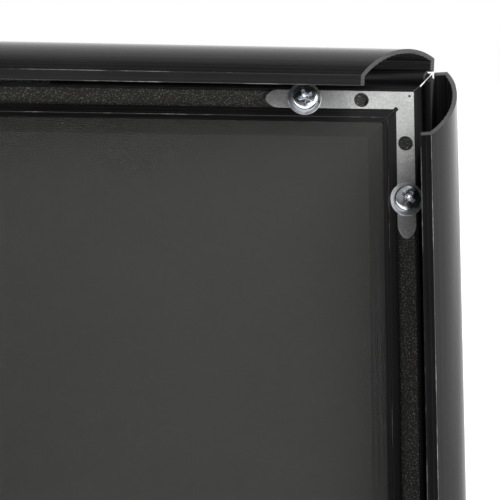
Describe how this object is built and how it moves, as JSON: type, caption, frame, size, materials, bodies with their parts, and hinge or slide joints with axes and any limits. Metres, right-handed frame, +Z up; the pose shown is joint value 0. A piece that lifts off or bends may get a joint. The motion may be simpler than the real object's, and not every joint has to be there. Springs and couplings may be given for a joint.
{
  "type": "sandwich board",
  "caption": "Folding A-shaped pavement board: two black aluminium snap frames hinged at the top, with opening covers, clear sheets, stay bars and feet.",
  "frame": {"origin": "on the ground, midway between the feet, under the top hinge axis", "axes": "+X across the board to the right as the front frame is read, -Y the way the front frame faces, +Z up"},
  "size_m": [0.6532, 0.5612, 0.8841],
  "materials": {
    "frame_aluminium": "satin black anodised",
    "cover_aluminium": "satin black anodised",
    "panel": "matt dark grey",
    "clear_sheet": "clear, lightly frosted against glare",
    "bracket_zinc": "satin zinc plate",
    "screw_zinc": "bright bluish zinc plate",
    "spring_steel": "bright spring steel",
    "foot_plastic": "moulded black",
    "fitting_zinc": "zinc plate"
  },
  "bodies": {
    "front_frame": {"front_top_rail": "frame_aluminium", "front_bottom_rail": "frame_aluminium", "front_left_rail": "frame_aluminium", "front_right_rail": "frame_aluminium", "front_back_panel": "panel", "front_clear_sheet": "clear_sheet", "front_corner_brackets": "bracket_zinc", "front_bracket_screws": "screw_zinc", "front_bracket_washers": "screw_zinc", "front_snap_springs": "spring_steel", "front_feet": "foot_plastic", "front_foot_screws": "screw_zinc", "front_hinge_plates": "fitting_zinc", "front_hinge_rivets": "fitting_zinc", "front_stay_brackets": "fitting_zinc", "front_stay_rivets": "fitting_zinc", "front_stay_pivots": "fitting_zinc", "hinge_pins": "fitting_zinc"},
    "rear_frame": {"rear_top_rail": "frame_aluminium", "rear_bottom_rail": "frame_aluminium", "rear_left_rail": "frame_aluminium", "rear_right_rail": "frame_aluminium", "rear_back_panel": "panel", "rear_clear_sheet": "clear_sheet", "rear_corner_brackets": "bracket_zinc", "rear_bracket_screws": "screw_zinc", "rear_bracket_washers": "screw_zinc", "rear_snap_springs": "spring_steel", "rear_feet": "foot_plastic", "rear_foot_screws": "screw_zinc", "rear_hinge_plates": "fitting_zinc", "rear_hinge_rivets": "fitting_zinc", "rear_stay_brackets": "fitting_zinc", "rear_stay_rivets": "fitting_zinc", "rear_stay_pegs": "fitting_zinc"},
    "front_top_cover": {"front_top_cover": "cover_aluminium"},
    "front_bottom_cover": {"front_bottom_cover": "cover_aluminium"},
    "front_left_cover": {"front_left_cover": "cover_aluminium"},
    "front_right_cover": {"front_right_cover": "cover_aluminium"},
    "rear_top_cover": {"rear_top_cover": "cover_aluminium"},
    "rear_bottom_cover": {"rear_bottom_cover": "cover_aluminium"},
    "rear_left_cover": {"rear_left_cover": "cover_aluminium"},
    "rear_right_cover": {"rear_right_cover": "cover_aluminium"},
    "left_stay": {"left_stay_bar": "fitting_zinc"},
    "right_stay": {"right_stay_bar": "fitting_zinc"}
  },
  "joints": [
    {"name": "fold", "type": "hinge", "parent": "front_frame", "child": "rear_frame", "pos_m": [0, 0, 0.87186], "axis": [-1, 0, 0], "range_deg": [0, 32]},
    {"name": "front_top_cover_hinge", "type": "hinge", "parent": "front_frame", "child": "front_top_cover", "pos_m": [0, -0.01604, 0.87397], "axis": [-1, 0, 0], "range_deg": [-68, 0]},
    {"name": "front_bottom_cover_hinge", "type": "hinge", "parent": "front_frame", "child": "front_bottom_cover", "pos_m": [0, -0.25866, 0.02786], "axis": [1, 0, 0], "range_deg": [-68, 0]},
    {"name": "front_left_cover_hinge", "type": "hinge", "parent": "front_frame", "child": "front_left_cover", "pos_m": [-0.3166, -0.13735, 0.45092], "axis": [0, -0.2756, -0.9613], "range_deg": [-74, 0]},
    {"name": "front_right_cover_hinge", "type": "hinge", "parent": "front_frame", "child": "front_right_cover", "pos_m": [0.3166, -0.13735, 0.45092], "axis": [0, 0.2756, 0.9613], "range_deg": [-74, 0]},
    {"name": "rear_top_cover_hinge", "type": "hinge", "parent": "rear_frame", "child": "rear_top_cover", "pos_m": [0, 0.01604, 0.87397], "axis": [1, 0, 0], "range_deg": [0, 68]},
    {"name": "rear_bottom_cover_hinge", "type": "hinge", "parent": "rear_frame", "child": "rear_bottom_cover", "pos_m": [0, 0.25866, 0.02786], "axis": [-1, 0, 0], "range_deg": [0, 68]},
    {"name": "rear_left_cover_hinge", "type": "hinge", "parent": "rear_frame", "child": "rear_left_cover", "pos_m": [0.3166, 0.13735, 0.45092], "axis": [0, 0.2756, -0.9613], "range_deg": [0, 74]},
    {"name": "rear_right_cover_hinge", "type": "hinge", "parent": "rear_frame", "child": "rear_right_cover", "pos_m": [-0.3166, 0.13735, 0.45092], "axis": [0, -0.2756, 0.9613], "range_deg": [0, 74]},
    {"name": "left_stay_pivot", "type": "hinge", "parent": "front_frame", "child": "left_stay", "pos_m": [-0.325, -0.15436, 0.33356], "axis": [1, 0, 0], "range_deg": [0, 78.36]},
    {"name": "right_stay_pivot", "type": "hinge", "parent": "front_frame", "child": "right_stay", "pos_m": [0.325, -0.15436, 0.33356], "axis": [1, 0, 0], "range_deg": [0, 78.36]}
  ],
  "couplings": [
    {"joint": "left_stay_pivot", "follows": "fold", "ratio": 2.4486},
    {"joint": "right_stay_pivot", "follows": "fold", "ratio": 2.4486}
  ]
}
